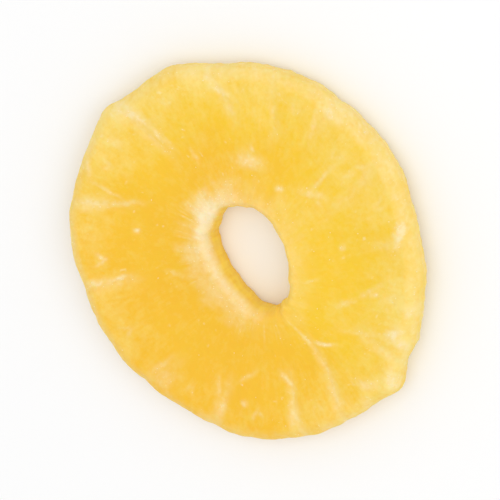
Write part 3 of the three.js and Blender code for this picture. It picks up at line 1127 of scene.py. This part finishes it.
class PINEAPPLE_PG_finish(bpy.types.PropertyGroup):
    deep_colour: bpy.props.FloatVectorProperty(
        name="Deep flesh", description="Flesh where it is deepest",
        size=3, subtype="COLOR", default=(0.89, 0.522, 0.034),
    )
    lemon_colour: bpy.props.FloatVectorProperty(
        name="Lemon flesh", description="Deep flesh where it is yellowest",
        size=3, subtype="COLOR", default=(0.9, 0.59, 0.038),
    )
    pale_colour: bpy.props.FloatVectorProperty(
        name="Pale flesh", description="Flesh where it is palest",
        size=3, subtype="COLOR", default=(0.92, 0.7, 0.2),
    )
    # Painted glow: a brighter colour that stands in for light coming through the bare wall of the hole
    painted_glow_colour: bpy.props.FloatVectorProperty(
        name="Painted glow", description="Flesh where light comes through",
        size=3, subtype="COLOR", default=(1.0, 0.7, 0.085),
    )
    frost_colour: bpy.props.FloatVectorProperty(
        name="Frosting", description="Dry sugar on the fruit",
        size=3, subtype="COLOR", default=(0.95, 0.8, 0.5),
    )
    grain_colour: bpy.props.FloatVectorProperty(
        name="Grains", description="Sugar grains",
        size=3, subtype="COLOR", default=(1.0, 0.79, 0.38),
    )
    light_reach: bpy.props.FloatVectorProperty(
        name="Light reach", description="How far each colour of light soaks in",
        size=3, default=(1.0, 0.6, 0.25),
    )
    mottling: bpy.props.FloatProperty(
        name="Mottling", description="Strength of the fine deep and pale mottling",
        default=1.0, min=0.0,
    )
    translucency: bpy.props.FloatProperty(
        name="Translucency", description="Share of light that soaks in",
        default=0.5, min=0.0, max=1.0, subtype="FACTOR",
    )
    bump: bpy.props.FloatProperty(
        name="Grain", description="Strength of the fine grain",
        default=0.6, min=0.0, max=1.0, subtype="FACTOR",
    )


class PINEAPPLE_PG_sugar(bpy.types.PropertyGroup):
    count: bpy.props.IntProperty(
        name="Grains", description="Number of sugar grains", default=760, min=0
    )
    smallest: bpy.props.FloatProperty(
        name="Smallest", description="Size of the smallest grain",
        default=0.08 * MM, unit="LENGTH", precision=5,
    )
    largest: bpy.props.FloatProperty(
        name="Largest", description="Size of the largest grain",
        default=0.24 * MM, unit="LENGTH", precision=5,
    )
    seed: bpy.props.IntProperty(name="Seed", description="Which arrangement of grains", default=11)


class PINEAPPLE_PG_studio(bpy.types.PropertyGroup):
    tilt: bpy.props.FloatProperty(
        name="Tilt", description="Camera's angle off straight above",
        default=math.radians(22), subtype="ANGLE",
    )
    turn: bpy.props.FloatProperty(
        name="Turn", description="Direction in the picture of the ring's longer way across",
        default=math.radians(305), subtype="ANGLE",
    )
    filled: bpy.props.FloatProperty(
        name="Filled", description="Share of the picture's width that the ring fills",
        default=0.8, subtype="FACTOR",
    )
    lens: bpy.props.FloatProperty(
        name="Lens", description="Focal length in millimetres", default=400.0
    )
    floor_colour: bpy.props.FloatVectorProperty(
        name="Floor", description="The pale floor", size=3, subtype="COLOR", default=(0.93, 0.93, 0.93)
    )
    key_power: bpy.props.FloatProperty(
        name="Key", description="Power of the key light", default=1.34, unit="POWER"
    )
    fill_power: bpy.props.FloatProperty(
        name="Fill", description="Power of the fill light", default=1.0, unit="POWER"
    )
    sky_strength: bpy.props.FloatProperty(
        name="Sky", description="Strength of the light from all round", default=0.85
    )


class PINEAPPLE_OT_ring(bpy.types.Operator):
    """Build the ring of flesh in place of the plain solid"""

    bl_idname = "pineapple.ring"
    bl_label = "Ring"

    def execute(self, context):
        scene = context.scene
        shape = scene.pineapple_shape
        skin, points = finished_skin(scene)
        mesh = grid_mesh("candied_ring", points)
        store_values(mesh, "frosting", frosting_amount(skin, shape))
        store_values(mesh, "paleness", paleness_amount(skin))
        store_values(mesh, "lemon", lemon_amount(skin))
        # Painted glow on the bare wall of the hole
        store_values(mesh, "painted_glow", painted_glow_amount(skin, shape))
        store_vectors(mesh, "strand_space", strand_space(skin, shape))
        ring = add_piece("candied_ring", mesh, candied_flesh(scene.pineapple_finish))
        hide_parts(NODE)
        return {"FINISHED"}


def crystal_shape(draw):
    """A small blocky crystal with cut corners, about one unit across: points and faces."""
    half = draw.uniform(*HALF_SIDES, 3)
    cut = draw.uniform(*CUT_CORNERS, 8)
    corners = np.array([[x, y, z] for x in (-1, 1) for y in (-1, 1) for z in (-1, 1)], float)
    points, faces = [], []
    ends = {}
    for number, corner in enumerate(corners):
        for axis in range(3):
            point = corner * half
            point[axis] *= 1.0 - cut[number]
            ends[(number, axis)] = len(points)
            points.append(point)
        triangle = [ends[(number, axis)] for axis in range(3)]
        faces.append(triangle if corner.prod() > 0 else triangle[::-1])
    for axis in range(3):
        for side in (-1, 1):
            faces.append(crystal_side(corners, ends, points, axis, side))
    return np.array(points), faces


def crystal_side(corners, ends, points, axis, side):
    """The eight-cornered face on one side of a crystal, in order round its middle."""
    others = [other for other in range(3) if other != axis]
    chosen = [ends[(n, other)] for n, c in enumerate(corners) if c[axis] == side for other in others]
    turns = [math.atan2(points[i][others[1]], points[i][others[0]]) for i in chosen]
    ordered = [i for _, i in sorted(zip(turns, chosen))]
    outwards = side if axis != 1 else -side
    return ordered if outwards > 0 else ordered[::-1]


class PINEAPPLE_OT_sugar(bpy.types.Operator):
    """Scatter sugar grains where the ring is frosted"""

    bl_idname = "pineapple.sugar"
    bl_label = "Sugar grains"

    def execute(self, context):
        scene = context.scene
        sugar = scene.pineapple_sugar
        draw = np.random.default_rng(sugar.seed)
        skin, points = finished_skin(scene)
        normals = skin_normals(points)
        frosting = frosting_amount(skin, scene.pineapple_shape)
        area = skin.radius * np.linalg.norm(np.roll(points, -1, axis=1) - points, axis=-1)
        weight = (area * (BARE_WEIGHT + frosting**2) * rise(skin.share, 0.3, 0.9)).ravel()
        chosen = draw.choice(weight.size, sugar.count, p=weight / weight.sum())
        shapes = [crystal_shape(draw) for _ in range(GRAIN_SHAPES)]
        all_points, all_faces = [], []
        for number in chosen:
            grain_points, grain_faces = shapes[draw.integers(len(shapes))]
            size = sugar.smallest + (sugar.largest - sugar.smallest) * draw.random() ** 2
            turned = np.array(random_turn(draw)) @ grain_points.T * size
            place = points.reshape(-1, 3)[number] - normals.reshape(-1, 3)[number] * size * GRAIN_SUNK
            start = len(all_points) * len(grain_points)
            all_points.append(turned.T + place)
            all_faces += [[start + i for i in face] for face in grain_faces]
        mesh = bpy.data.meshes.new("sugar_grains")
        mesh.from_pydata(np.concatenate(all_points).tolist(), [], all_faces)
        mesh.update()
        add_piece("sugar_grains", mesh, sugar_crystal(scene.pineapple_finish))
        return {"FINISHED"}


def random_turn(draw):
    """A rotation about a random axis, as a 3 by 3 matrix."""
    axis = Vector(draw.normal(size=3)).normalized()
    return Matrix.Rotation(draw.uniform(0, math.tau), 3, axis)


def add_light(name, power, direction, target):
    """A soft square light that looks at the target from a direction."""
    light = bpy.data.lights.new(name, "AREA")
    light.shape = "SQUARE"
    light.size = LIGHT_SIZE
    light.energy = power
    lamp = add_object(name, light)
    lamp.location = target + direction.normalized() * LIGHT_DISTANCE
    lamp.rotation_euler = direction.to_track_quat("Z", "Y").to_euler()


def add_floor(reach, level, colour):
    """A flat matte floor round the middle of the scene."""
    material, _, shader = new_material("pale_floor", FLOOR_SHADER)
    shader.inputs["Base Color"].default_value = linear(colour)
    corners = [(x * reach, y * reach, level) for x, y in ((-1, -1), (1, -1), (1, 1), (-1, 1))]
    mesh = bpy.data.meshes.new("floor")
    mesh.from_pydata(corners, [], [(0, 1, 2, 3)])
    mesh.materials.append(material)
    add_object("floor", mesh)


class PINEAPPLE_OT_studio(bpy.types.Operator):
    """Set up the floor, the lights and the camera"""

    bl_idname = "pineapple.studio"
    bl_label = "Studio"

    def execute(self, context):
        scene = context.scene
        studio = scene.pineapple_studio
        low, high = CAD_BOX
        middle = (low + high) / 2
        length = high.x - low.x
        add_floor(FLOOR_REACH * length, low.z - FLOOR_GAP, studio.floor_colour)

        towards = Vector((0.0, math.sin(studio.tilt), math.cos(studio.tilt)))
        along = Vector((1.0, 0.0, 0.0))
        aside = Vector((0.0, math.cos(studio.tilt), -math.sin(studio.tilt)))
        right = along * math.cos(studio.turn) - aside * math.sin(studio.turn)
        up = along * math.sin(studio.turn) + aside * math.cos(studio.turn)
        camera_data = bpy.data.cameras.new("camera")
        camera_data.lens = studio.lens
        camera_data.clip_start = CLIP_START
        camera = add_object("camera", camera_data)
        view_width = length / studio.filled
        distance = view_width * studio.lens / camera_data.sensor_width
        turned = Matrix((right, up, towards)).transposed().to_4x4()
        camera.matrix_world = Matrix.Translation(middle + towards * distance) @ turned
        scene.camera = camera

        add_light("key", studio.key_power, towards + right * KEY_ASIDE + up * KEY_UP, middle)
        add_light("fill", studio.fill_power, towards + right * FILL_ASIDE + up * FILL_UP, middle)

        world = bpy.data.worlds.new("studio")
        world.use_nodes = True
        sky = world.node_tree.nodes["Background"]
        sky.inputs["Color"].default_value = (1.0, 1.0, 1.0, 1.0)
        sky.inputs["Strength"].default_value = studio.sky_strength
        scene.world = world
        scene.view_settings.view_transform = "Standard"
        return {"FINISHED"}


class PINEAPPLE_PT_panel(bpy.types.Panel):
    """The ring's sizes and finishes, and the buttons that build it"""

    bl_label = "Dried pineapple ring"
    bl_idname = "PINEAPPLE_PT_panel"
    bl_space_type = "VIEW_3D"
    bl_region_type = "UI"
    bl_category = "Pineapple"

    def draw(self, context):
        for name, operators in PANEL_ROWS:
            box = self.layout.box()
            group = getattr(context.scene, name)
            for key in group.__annotations__:
                box.prop(group, key)
            for operator in operators:
                box.operator(operator)


PANEL_ROWS = (
    ("pineapple_shape", ()),
    ("pineapple_relief", ()),
    ("pineapple_finish", ("pineapple.ring",)),
    ("pineapple_sugar", ("pineapple.sugar",)),
    ("pineapple_studio", ("pineapple.studio",)),
)
GROUP_CLASSES = {
    "pineapple_shape": PINEAPPLE_PG_shape,
    "pineapple_relief": PINEAPPLE_PG_relief,
    "pineapple_finish": PINEAPPLE_PG_finish,
    "pineapple_sugar": PINEAPPLE_PG_sugar,
    "pineapple_studio": PINEAPPLE_PG_studio,
}
CLASSES = (
    *GROUP_CLASSES.values(),
    PINEAPPLE_OT_ring,
    PINEAPPLE_OT_sugar,
    PINEAPPLE_OT_studio,
    PINEAPPLE_PT_panel,
)


def register():
    """Registers the classes and the settings that they keep in the scene."""
    for item in CLASSES:
        bpy.utils.register_class(item)
    for name, group in GROUP_CLASSES.items():
        setattr(bpy.types.Scene, name, bpy.props.PointerProperty(type=group))


def unregister():
    """Takes away what register added."""
    for name in GROUP_CLASSES:
        delattr(bpy.types.Scene, name)
    for item in reversed(CLASSES):
        bpy.utils.unregister_class(item)


def main():
    """Builds the pieces and the studio."""
    register()
    bpy.ops.pineapple.ring()
    bpy.ops.pineapple.sugar()
    bpy.ops.pineapple.studio()


if __name__ == "__main__":
    main()
